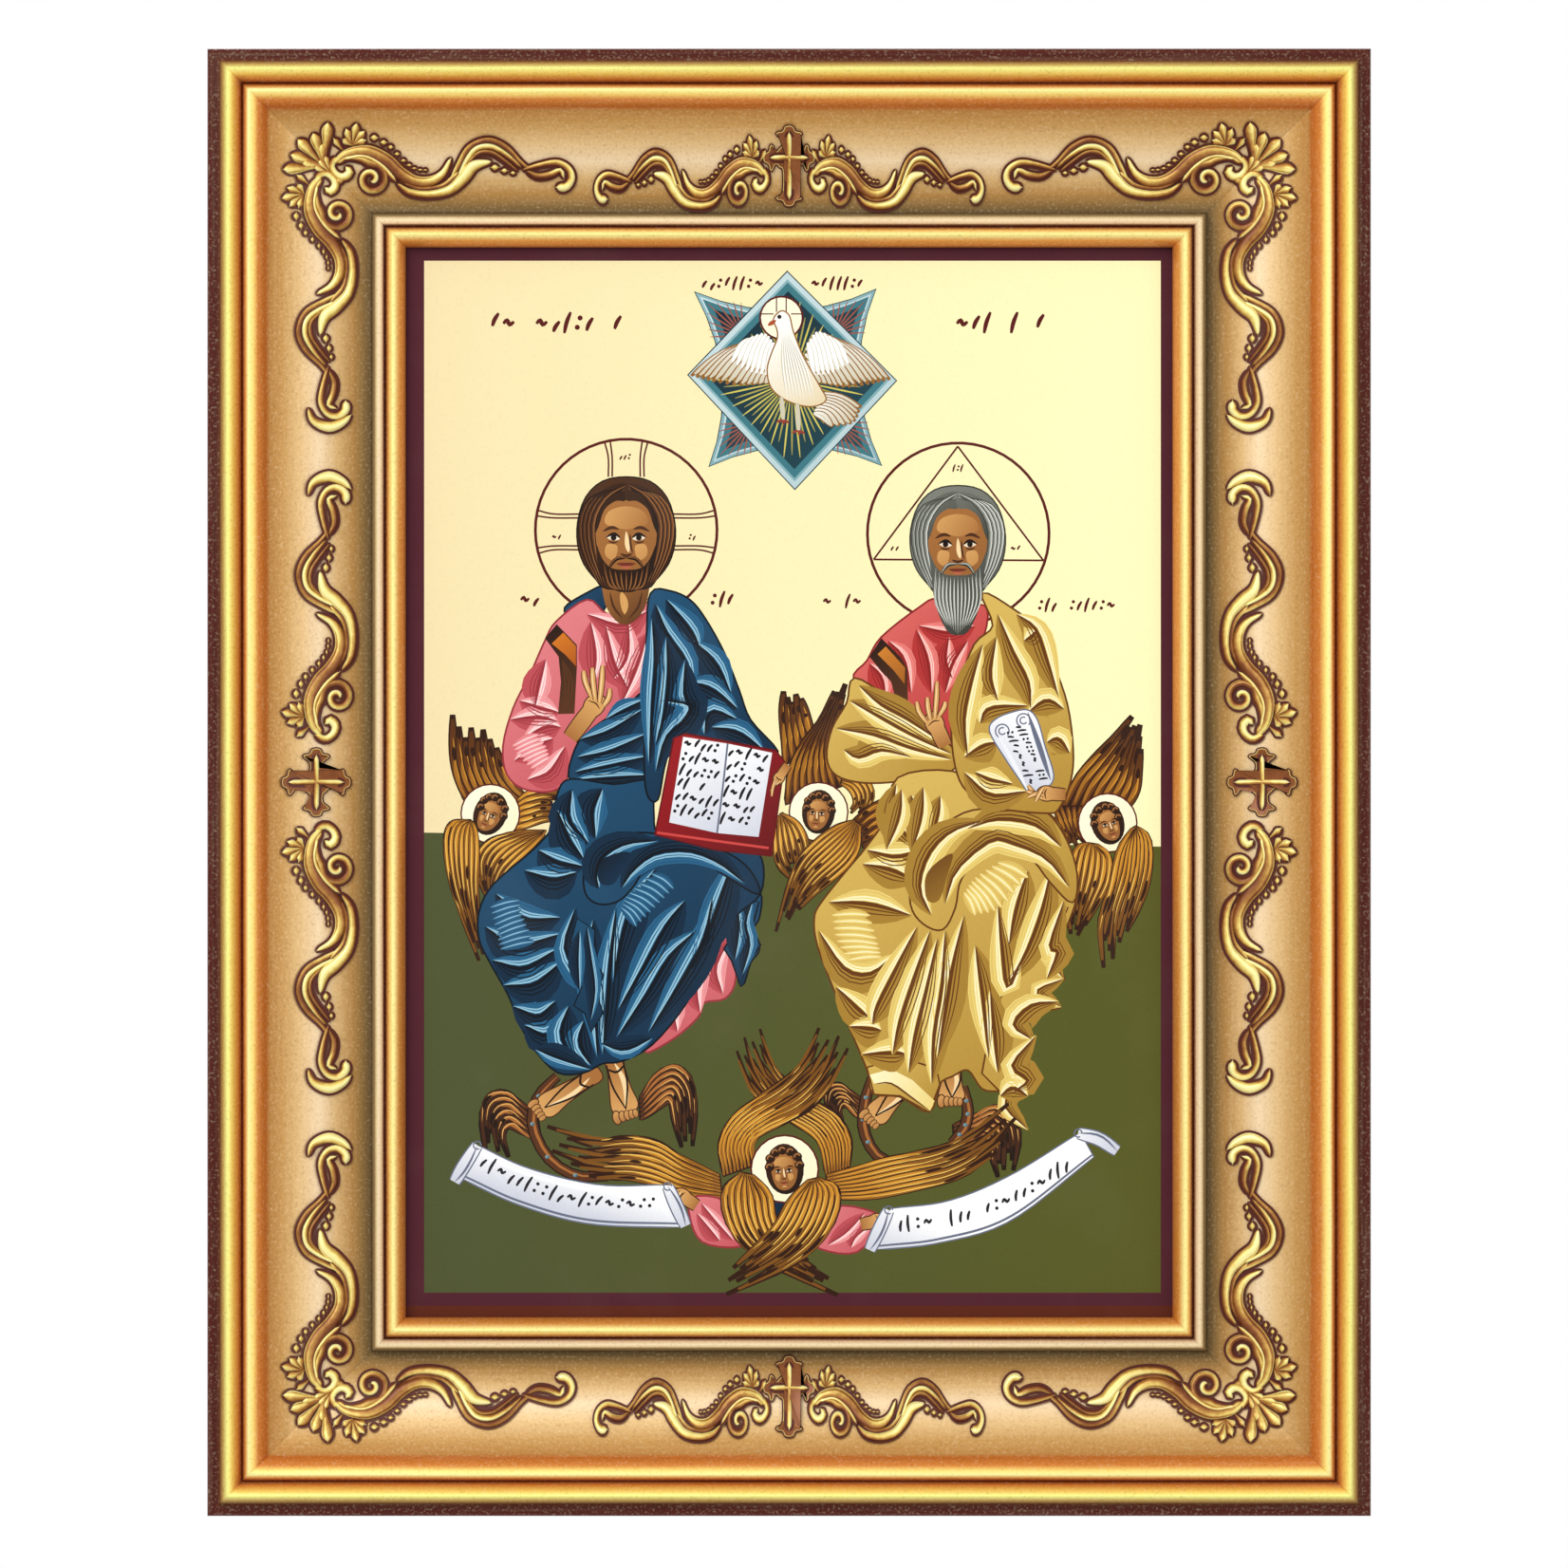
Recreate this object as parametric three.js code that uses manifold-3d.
// A small framed icon for a wall: four mitred gilt rails with applied scroll ornaments,
// a painted icon panel and its backing board in the rebate, and a sawtooth hanger behind.
// Millimetres, +Z up, the picture faces -Y, and the origin is the middle of the hanger's back face.
import * as THREE from "three";
import { mergeVertices } from "three/addons/utils/BufferGeometryUtils.js";
import Module from "manifold-3d";

const wasm = await Module();
wasm.setup();

// Outside of the frame, and its height above the hanger
const FRAME_WIDTH = 240;
const FRAME_HEIGHT = 302.7;
const HANGER_BELOW_TOP = 17.7;

// Rail section, member by member, going outwards from the sight edge
const SIGHT_BEAD_WIDTH = 4.2;
const FILLET_WIDTH = 2.0;
const COVE_STEP_WIDTH = 1.0;
const COVE_WIDTH = 21.3;
const INNER_BEAD_WIDTH = 5.0;
const OUTER_BEAD_WIDTH = 4.7;
const EDGE_WIDTH = 2.5;

// Heights of the section above the back of the rails
const LIP_HEIGHT = 9.6;
const SIGHT_EDGE_HEIGHT = 11.2;
const SIGHT_BEAD_HEIGHT = 14.5;
const SIGHT_QUIRK_HEIGHT = 12.6;
const FILLET_HEIGHT = 13.8;
const COVE_LOW_HEIGHT = 9.8;
const COVE_HIGH_HEIGHT = 16.2;
const COVE_HOLLOW = 3.6;
const INNER_BEAD_HEIGHT = 19.4;
const QUIRK_HEIGHT = 17.9;
const OUTER_BEAD_HEIGHT = 22;
const EDGE_TOP_HEIGHT = 18.6;
const EDGE_ROUNDING = 0.7;

// Rebate and what lies in it
const REBATE_WIDTH = 5;
const PANEL_THICKNESS = 5;
const BACKING_THICKNESS = 3;
const PANEL_CLEARANCE = 0.5;
const GAP = 0.3;

// Flat facets across the cove, and along each half of a bead
const COVE_FACETS = 8;
const BEAD_FACETS = 3;

// Ornaments: how far they stand proud, and their places as shares of the cove and of the runs
const RELIEF = 1.9;
const RIM = 0.3;
const ORNAMENT_LINE = 0.526;
const ARM_SHARE = 0.714;
const PALMETTE_SHARE = 0.568;
const CREST_CROSS_SHARE = 0.8;
const SIDE_CROSS_SHARE = 0.685;
const CROSS_SLAB_SHARE = 0.65;
const GROUP_DROP = 0.115;
const ROOT_INSET = 3.2;
const HEART_INSET = 1.6;
const CORNER_ARM_ACROSS_RUN = 0.542;
const CORNER_ARM_DOWN_RUN = 0.4225;
const GROUP_ARM_SHARE = 0.386;
const GROUP_ARM_START = 0.048;
const CREST_BOTTOM_RISE = 0.18;
const SIDE_SCROLL_SHARE = 0.437;
const SIDE_SCROLL_START = 0.072;

// Hanger
const HANGER_LENGTH = 44;
const HANGER_HEIGHT = 9;
const HANGER_THICKNESS = 1;
const HANGER_TEETH = 7;
const TOOTH_DEPTH = 1.6;
const CORNER_CUT = 1;
const NAIL_INSET = 3.6;
const NAIL_HEAD_RADIUS = 1.3;
const NAIL_HEAD_SINK = 0.1;

// Worked out from the sizes above
const COVE_START = SIGHT_BEAD_WIDTH + FILLET_WIDTH + COVE_STEP_WIDTH;
const RAIL_WIDTH = COVE_START + COVE_WIDTH + INNER_BEAD_WIDTH + OUTER_BEAD_WIDTH + EDGE_WIDTH;
const OPENING_WIDTH = FRAME_WIDTH - 2 * RAIL_WIDTH;
const OPENING_HEIGHT = FRAME_HEIGHT - 2 * RAIL_WIDTH;
const CENTRE_Z = HANGER_BELOW_TOP - FRAME_HEIGHT / 2;
const BACK_Y = -(HANGER_THICKNESS + GAP);
const ORNAMENT_U = COVE_START + ORNAMENT_LINE * COVE_WIDTH;
const RUN_X = FRAME_WIDTH / 2 - (RAIL_WIDTH - ORNAMENT_U) - ROOT_INSET;
const RUN_Z = FRAME_HEIGHT / 2 - (RAIL_WIDTH - ORNAMENT_U) - ROOT_INSET;

const gilt = new THREE.MeshStandardMaterial({ color: 0xd9a35a, roughness: 0.35, metalness: 0.75 });
const giltOrnament = new THREE.MeshStandardMaterial({ color: 0xe8c878, roughness: 0.3, metalness: 0.8 });
const paintedBoard = new THREE.MeshStandardMaterial({ color: 0xf0e3ad, roughness: 0.6, metalness: 0 });
const bareBoard = new THREE.MeshStandardMaterial({ color: 0x8a6a45, roughness: 0.85, metalness: 0 });
const steel = new THREE.MeshStandardMaterial({ color: 0xb9b4a6, roughness: 0.4, metalness: 0.9 });

const root = new THREE.Group();

function addPiece(name, geometry, material) {
  const mesh = new THREE.Mesh(geometry, material);
  mesh.name = name;
  root.add(mesh);
}

// A three.js geometry as a solid that can be joined and cut
function toSolid(geometry) {
  const bare = geometry.index ? geometry.toNonIndexed() : geometry.clone();
  const positions = new THREE.BufferGeometry().setAttribute("position", bare.getAttribute("position"));
  const merged = mergeVertices(positions, 1e-4);
  const mesh = new wasm.Mesh({
    numProp: 3,
    vertProperties: merged.attributes.position.array,
    triVerts: new Uint32Array(merged.index.array),
  });
  return new wasm.Manifold(mesh);
}

function toGeometry(solid) {
  const mesh = solid.getMesh();
  const geometry = new THREE.BufferGeometry();
  geometry.setAttribute("position", new THREE.BufferAttribute(mesh.vertProperties, mesh.numProp));
  geometry.setIndex(new THREE.BufferAttribute(mesh.triVerts, 1));
  return geometry;
}

function joined(solids) {
  return solids.reduce((sum, solid) => sum.add(solid));
}

// A closed solid through rings of equal count; caps are the triangles that close the first and last
function loft(rings, caps = [[0, 1, 2]]) {
  const count = rings[0].length;
  const last = (rings.length - 1) * count;
  const faces = [];
  for (let here = 0; here < last; here += count) {
    const next = here + count;
    for (let j = 0; j < count; j++) {
      const k = (j + 1) % count;
      faces.push(here + j, here + k, next + k, here + j, next + k, next + j);
    }
  }
  for (const [a, b, c] of caps) faces.push(c, b, a, last + a, last + b, last + c);
  const geometry = new THREE.BufferGeometry();
  geometry.setAttribute("position", new THREE.Float32BufferAttribute(rings.flat(2), 3));
  geometry.setIndex(faces);
  return geometry;
}

// Triangles that fill an outline, each with its corners in the outline's own order
function fillOf(outline) {
  return THREE.ShapeUtils.triangulateShape(outline, []).map((face) => [...face].sort((p, q) => p - q));
}

// A rounded member from start to end, each (u, h), with its crown at a share of its width
function bead(path, [startU, startH], [endU, endH], crown, share) {
  const { lerp } = THREE.MathUtils;
  const crownU = lerp(startU, endU, share);
  path.quadraticCurveTo(lerp(startU, crownU, 0.35), lerp(startH, crown, 0.85), crownU, crown);
  path.quadraticCurveTo(lerp(crownU, endU, 0.8), lerp(crown, endH, 0.2), endU, endH);
}

// Rail section as points (u, h): u outwards from the sight edge, h above the back of the rail
function railOutline() {
  const fillet = SIGHT_BEAD_WIDTH + FILLET_WIDTH;
  const coveEnd = [COVE_START + COVE_WIDTH, COVE_HIGH_HEIGHT];
  const innerQuirk = [coveEnd[0] + INNER_BEAD_WIDTH, QUIRK_HEIGHT];
  const outerQuirk = [innerQuirk[0] + OUTER_BEAD_WIDTH, EDGE_TOP_HEIGHT];
  const path = new THREE.Path();
  path.moveTo(REBATE_WIDTH, 0);
  path.lineTo(REBATE_WIDTH, LIP_HEIGHT);
  path.lineTo(0, LIP_HEIGHT);
  path.lineTo(0, SIGHT_EDGE_HEIGHT);
  bead(path, [0, SIGHT_EDGE_HEIGHT], [SIGHT_BEAD_WIDTH, SIGHT_QUIRK_HEIGHT], SIGHT_BEAD_HEIGHT, 0.6);
  path.lineTo(SIGHT_BEAD_WIDTH + FILLET_WIDTH * 0.25, FILLET_HEIGHT);
  path.lineTo(fillet, FILLET_HEIGHT);
  for (let i = 0; i <= COVE_FACETS; i++) {
    const u = COVE_START + (COVE_WIDTH * i) / COVE_FACETS;
    path.lineTo(u, coveHeight(u));
  }
  bead(path, coveEnd, innerQuirk, INNER_BEAD_HEIGHT, 0.72);
  bead(path, innerQuirk, outerQuirk, OUTER_BEAD_HEIGHT, 0.6);
  path.lineTo(RAIL_WIDTH - EDGE_ROUNDING, EDGE_TOP_HEIGHT);
  path.lineTo(RAIL_WIDTH, EDGE_TOP_HEIGHT - 2 * EDGE_ROUNDING);
  path.lineTo(RAIL_WIDTH, 0);
  return path.getPoints(BEAD_FACETS);
}

// The cove is a parabola that sags by COVE_HOLLOW / 2 below its chord, hollow towards the viewer
function coveHeight(u) {
  const t = THREE.MathUtils.clamp((u - COVE_START) / COVE_WIDTH, 0, 1);
  return THREE.MathUtils.lerp(COVE_LOW_HEIGHT, COVE_HIGH_HEIGHT, t) - 2 * COVE_HOLLOW * t * (1 - t);
}

// A rail runs between two mitres: each section point is carried out along the mitre by its own u
function railGeometry(halfLength, halfAcross, place) {
  const outline = railOutline();
  const mitreGap = GAP * Math.SQRT1_2;
  const end = (side) =>
    outline.map(({ x: u, y: h }) => place(side * (halfLength + u - mitreGap), halfAcross + u, h));
  const geometry = loft([end(-1), end(1)], fillOf(outline));
  if (toSolid(geometry).volume() < 0) geometry.index.array.reverse();
  return geometry;
}

function addRails() {
  const halfW = OPENING_WIDTH / 2;
  const halfH = OPENING_HEIGHT / 2;
  const spots = {
    rail_top: [halfW, halfH, (along, out, h) => [along, BACK_Y - h, CENTRE_Z + out]],
    rail_bottom: [halfW, halfH, (along, out, h) => [along, BACK_Y - h, CENTRE_Z - out]],
    rail_left: [halfH, halfW, (along, out, h) => [-out, BACK_Y - h, CENTRE_Z + along]],
    rail_right: [halfH, halfW, (along, out, h) => [out, BACK_Y - h, CENTRE_Z + along]],
  };
  for (const [name, [halfLength, halfAcross, place]] of Object.entries(spots)) {
    addPiece(name, railGeometry(halfLength, halfAcross, place), gilt);
  }
}

function curveOf(stations) {
  return new THREE.CatmullRomCurve3(stations.map((station) => new THREE.Vector3(...station)));
}

// A carved ribbon: stations are (along, across, half width), its ridge runs down the middle
function ribbon(stations, steps, ridge = 1) {
  const curve = curveOf(stations);
  const rings = [];
  for (let i = 0; i <= steps; i++) {
    const { x, y, z: half } = curve.getPoint(i / steps);
    const tangent = curve.getTangent(i / steps);
    const run = Math.hypot(tangent.x, tangent.y);
    const nx = (-tangent.y / run) * (half + RIM);
    const ny = (tangent.x / run) * (half + RIM);
    const crest = RELIEF * ridge * Math.min(1, 0.35 + 0.4 * half);
    rings.push([
      [x + nx, y + ny, 0],
      [x, y, crest],
      [x - nx, y - ny, 0],
    ]);
  }
  return toSolid(loft(rings));
}

// A volute: a stem that runs into an Archimedean spiral and narrows towards its eye
function volute(stem, [cx, cy], radius, turns, steps) {
  const stations = [stem];
  const startAngle = 1.35;
  for (let i = 0; i <= 4 * turns + 1; i++) {
    const t = i / (4 * turns + 1);
    const angle = startAngle - t * turns * 2 * Math.PI;
    const reach = radius * (1 - 0.84 * t);
    stations.push([cx + reach * Math.cos(angle), cy + reach * Math.sin(angle), radius * (0.3 - 0.1 * t)]);
  }
  return ribbon(stations, steps);
}

// A row of shrinking domes along one edge of a ribbon, from one share of its length to another
function edgeBeads(stations, side, [fromShare, toShare], count, [firstRadius, lastRadius]) {
  const curve = curveOf(stations);
  return Array.from({ length: count }, (_, i) => {
    const t = i / (count - 1);
    const share = THREE.MathUtils.lerp(fromShare, toShare, t);
    const radius = THREE.MathUtils.lerp(firstRadius, lastRadius, t) + RIM;
    const { x, y, z: half } = curve.getPoint(share);
    const tangent = curve.getTangent(share);
    const reach = (side * (half + 0.5 * radius)) / Math.hypot(tangent.x, tangent.y);
    const height = RELIEF * (0.3 + 0.45 * radius);
    const dome = new THREE.ConeGeometry(radius, height, 4).rotateX(Math.PI / 2);
    return toSolid(dome.translate(x - tangent.y * reach, y + tangent.x * reach, height / 2));
  });
}

// A petal is a short ribbon from its root, swelling to a round tip
function petal(x, y, angle, length, half) {
  const at = (reach, width) => [x + Math.cos(angle) * reach, y + Math.sin(angle) * reach, width];
  return ribbon([at(0, half * 0.3), at(0.72 * length, half), at(length, half * 0.35)], 2, 0.9);
}

// One scroll arm as drawn, about 52 units long: along the rail from its root, and across it from
// the ornament line, outwards positive. It is brought to its real size where it is placed.
function armSolids(ending) {
  const mainLeaf = [
    [0.5, -1.1, 0.6], [3.2, 0.7, 1.0], [7.4, 1.1, 1.5], [11.3, -0.6, 1.5],
    [14.2, -3.0, 1.4], [18.4, -4.8, 1.3], [22.6, -3.6, 1.0], [25, -0.2, 0.3],
  ];
  const hook = [[0.9, -0.4, 0.6], [0.1, -2.2, 0.8], [1.5, -3.8, 0.8], [3.2, -3.4, 0.95], [3.4, -2.2, 0.6]];
  const lowerLeaf = [
    [13.4, -5.4, 0.3], [17.5, -7.1, 0.8], [24.0, -6.2, 1.2], [28.2, -2.9, 1.6], [33.4, -0.4, 0.5],
  ];
  const waveAndTail = [
    [25.4, -3.4, 0.3], [28.4, 0.2, 1.2], [32.8, 2.4, 1.6], [37.0, 0.6, 1.3], [41.2, -2.3, 0.6],
    [44.6, -1.3, 0.6], [48.6, -1.3, 0.8], [50.2, -4.0, 0.9], [48.4, -5.7, 1.1], [47.0, -4.9, 0.5],
  ];
  const crescent = [[48.9, 1.3, 0.2], [51.7, -0.4, 0.8], [51.7, -4.2, 0.9], [49.8, -7.0, 0.2]];
  const solids = [
    ribbon(mainLeaf, 5),
    ribbon(hook, 3),
    volute([6.2, -0.3, 0.5], [8.24, -4.2], 2.9, 1.1, 8),
    ribbon(lowerLeaf, 3),
    ribbon(waveAndTail, 7),
    ...edgeBeads(mainLeaf, 1, [0.32, 0.58], 3, [1.0, 0.7]),
    ...edgeBeads(waveAndTail, -1, [0.26, 0.35], 2, [0.9, 0.7]),
  ];
  for (const [degrees, length] of [[162, 4.3], [106, 5.0], [56, 4.0]]) {
    solids.push(petal(4.4, 1.9, THREE.MathUtils.degToRad(degrees), length, 0.9));
  }
  if (ending === "crescent") solids.push(ribbon(crescent, 3));
  return solids;
}

const arms = { curl: joined(armSolids("curl")), crescent: joined(armSolids("crescent")) };

// How much a drawn solid grows so that it covers a share of the cove's width
function growth(solid, share) {
  const { min, max } = solid.boundingBox();
  return (share * COVE_WIDTH) / (max[1] - min[1]);
}

// An arm stretched to a length along its rail; place turns (along, out, height) into frame directions
function placedArm(ending, length, place) {
  const arm = arms[ending];
  const stretch = length / arm.boundingBox().max[0];
  const spread = growth(arm, ARM_SHARE);
  return warped(arm, ([along, across, height]) => place(along * stretch, across * spread, height));
}

// A copy of a solid with every vertex moved by a rule; a rule that mirrors also turns the faces round
function warped(solid, rule) {
  const mesh = solid.getMesh();
  const positions = new Float32Array(mesh.vertProperties.length);
  for (let i = 0; i < positions.length; i += 3) {
    positions.set(rule(Array.from(mesh.vertProperties.subarray(i, i + 3))), i);
  }
  const geometry = new THREE.BufferGeometry();
  geometry.setAttribute("position", new THREE.BufferAttribute(positions, 3));
  geometry.setIndex(Array.from(mesh.triVerts));
  const made = toSolid(geometry);
  if (made.volume() > 0) return made;
  geometry.setIndex(Array.from(mesh.triVerts).reverse());
  return toSolid(geometry);
}

// Laid on the cove: x and z from the frame's middle, height above the moulding
function laidOnCove(solid) {
  return warped(solid, ([x, z, height]) => {
    const u = Math.max(Math.abs(x) - OPENING_WIDTH / 2, Math.abs(z) - OPENING_HEIGHT / 2);
    return [x, BACK_Y - coveHeight(u) - GAP - height, CENTRE_Z + z];
  });
}

// A cross with lobed ends; the arms' lengths are up, side and down
function crossSolid(up, side, down) {
  const flare = (length, foot) => [
    [1.5, 2.9], [1.5 + foot, length - 3.4], [2.9, length - 2.2],
    [2.6, length - 1.3], [1.2, length - 0.6], [0, length],
  ];
  const quarter = (first, firstFoot, second) => {
    const rising = flare(first, firstFoot).reverse();
    const across = flare(second, 0).map(([a, b]) => [b, a]);
    return [...rising, [2.3, 2.3], ...across];
  };
  const lower = quarter(down, -0.2, side).reverse().slice(1);
  const right = [...quarter(up, 0, side), ...lower.map(([x, y]) => [x, -y])];
  const left = right.slice(1, -1).reverse().map(([x, y]) => [-x, y]);
  const outline = [...right, ...left].map(([x, y]) => new THREE.Vector2(x, y));
  const depth = CROSS_SLAB_SHARE * RELIEF;
  const slab = new THREE.ExtrudeGeometry(new THREE.Shape(outline), { depth, bevelEnabled: false });
  const inset = 1.8;
  const upright = ribbon([[0, up - inset, 0.6], [0, 0, 0.75], [0, inset - down, 0.6]], 2, 1.6);
  const bar = ribbon([[inset - side, 0, 0.6], [0, 0, 0.75], [side - inset, 0, 0.6]], 2, 1.6);
  return joined([toSolid(slab), upright, bar]);
}

// Arms of the crosses as drawn, up, to the sides and down
const CREST_CROSS = [6.8, 5.6, 10.2];
const SIDE_CROSS = [7.3, 7.3, 7.3];

// Petals of the corner palmette: direction in degrees, and length
const PALMETTE = [[84, 9.4], [110, 8.2], [135, 8.4], [160, 8.8], [186, 9.0], [122, 4.6], [148, 4.6]];

function addCornerOrnaments() {
  const halfW = OPENING_WIDTH / 2;
  const halfH = OPENING_HEIGHT / 2;
  const { degToRad } = THREE.MathUtils;
  const petals = PALMETTE.map(([degrees, length]) => petal(0, 0, degToRad(degrees), length, 1.1));
  const heart = petal(2.2, -2.2, degToRad(135), 4.6, 1.3);
  const palmette = joined([...petals, heart]);
  const spread = growth(palmette, PALMETTE_SHARE);
  const corners = [
    ["top_left", -1, 1], ["top_right", 1, 1], ["bottom_left", -1, -1], ["bottom_right", 1, -1],
  ];
  for (const [name, sx, sz] of corners) {
    const across = placedArm("curl", CORNER_ARM_ACROSS_RUN * RUN_X, (a, b, h) => [
      sx * (RUN_X - a), sz * (halfH + ORNAMENT_U + b), h,
    ]);
    const down = placedArm("crescent", CORNER_ARM_DOWN_RUN * RUN_Z, (a, b, h) => [
      sx * (halfW + ORNAMENT_U + b), sz * (RUN_Z - a), h,
    ]);
    const fan = warped(palmette, ([x, y, h]) => [
      sx * (RUN_X + HEART_INSET - x * spread), sz * (RUN_Z + HEART_INSET + y * spread), h,
    ]);
    const ornament = laidOnCove(joined([across, down, fan]));
    addPiece("corner_ornament_" + name, toGeometry(ornament), giltOrnament);
  }
}

function addCrestOrnaments() {
  const cross = crossSolid(...CREST_CROSS);
  const spread = growth(cross, CREST_CROSS_SHARE);
  const line = OPENING_HEIGHT / 2 + ORNAMENT_U;
  const drop = GROUP_DROP * COVE_WIDTH;
  for (const [name, middle] of [["top", line], ["bottom", CREST_BOTTOM_RISE * COVE_WIDTH - line]]) {
    const sides = [-1, 1].map((sx) =>
      placedArm("curl", GROUP_ARM_SHARE * RUN_X, (a, b, h) => [
        sx * (GROUP_ARM_START * RUN_X + a), middle + b - drop, h,
      ]),
    );
    const centre = warped(cross, ([x, y, h]) => [x * spread, middle + y * spread, h]);
    const ornament = laidOnCove(joined([centre, ...sides]));
    addPiece("crest_ornament_" + name, toGeometry(ornament), giltOrnament);
  }
}

function addSideOrnaments() {
  const line = OPENING_WIDTH / 2 + ORNAMENT_U;
  const cross = crossSolid(...SIDE_CROSS);
  const spread = growth(cross, SIDE_CROSS_SHARE);
  for (const [side, sx] of [["left", -1], ["right", 1]]) {
    for (const [level, sz] of [["upper", 1], ["lower", -1]]) {
      const arm = placedArm("crescent", SIDE_SCROLL_SHARE * RUN_Z, (a, b, h) => [
        sx * (line + b), sz * (SIDE_SCROLL_START * RUN_Z + a), h,
      ]);
      addPiece("side_scroll_" + level + "_" + side, toGeometry(laidOnCove(arm)), giltOrnament);
    }
    const placed = warped(cross, ([x, y, h]) => [sx * line + x * spread, y * spread, h]);
    addPiece("side_cross_" + side, toGeometry(laidOnCove(placed)), giltOrnament);
  }
}

function addPanelAndBacking() {
  const width = OPENING_WIDTH + 2 * (REBATE_WIDTH - PANEL_CLEARANCE);
  const height = OPENING_HEIGHT + 2 * (REBATE_WIDTH - PANEL_CLEARANCE);
  const panelFront = LIP_HEIGHT - GAP;
  const backingFront = panelFront - PANEL_THICKNESS - GAP;
  const board = (thickness, front) =>
    new THREE.BoxGeometry(width, thickness, height).translate(0, BACK_Y - front + thickness / 2, CENTRE_Z);
  addPiece("icon_panel", board(PANEL_THICKNESS, panelFront), paintedBoard);
  addPiece("backing_board", board(BACKING_THICKNESS, backingFront), bareBoard);
}

// The hanger lies on the back of the top rail with its serrated edge down; its nail heads are sunk flush
function addHanger() {
  const halfLength = HANGER_LENGTH / 2;
  const halfHeight = HANGER_HEIGHT / 2;
  const toothedHalf = halfLength - 2 * NAIL_INSET;
  const pitch = (2 * toothedHalf) / HANGER_TEETH;
  const shape = new THREE.Shape().moveTo(-halfLength, -halfHeight);
  const holeRadius = NAIL_HEAD_RADIUS + GAP;
  for (let i = 0; i < HANGER_TEETH; i++) {
    const start = -toothedHalf + i * pitch;
    shape.lineTo(start, -halfHeight);
    shape.lineTo(start + pitch / 2, -halfHeight + TOOTH_DEPTH);
  }
  shape.lineTo(toothedHalf, -halfHeight).lineTo(halfLength, -halfHeight);
  shape.lineTo(halfLength, halfHeight - CORNER_CUT).lineTo(halfLength - CORNER_CUT, halfHeight);
  shape.lineTo(CORNER_CUT - halfLength, halfHeight).lineTo(-halfLength, halfHeight - CORNER_CUT);
  for (const sx of [-1, 1]) {
    shape.holes.push(new THREE.Path().absarc(sx * (halfLength - NAIL_INSET), 0, holeRadius, 0, 2 * Math.PI));
  }
  const options = { depth: HANGER_THICKNESS, bevelEnabled: false, curveSegments: 6 };
  const plate = new THREE.ExtrudeGeometry(shape, options);
  addPiece("hanger_plate", plate.rotateX(Math.PI / 2), steel);
  for (const [side, sx] of [["left", -1], ["right", 1]]) {
    const depth = HANGER_THICKNESS - NAIL_HEAD_SINK;
    const head = new THREE.CylinderGeometry(NAIL_HEAD_RADIUS, NAIL_HEAD_RADIUS, depth, 10);
    head.translate(sx * (halfLength - NAIL_INSET), -NAIL_HEAD_SINK - depth / 2, 0);
    addPiece("hanger_nail_" + side, head, steel);
  }
}

addRails();
addCornerOrnaments();
addCrestOrnaments();
addSideOrnaments();
addPanelAndBacking();
addHanger();

export default root;
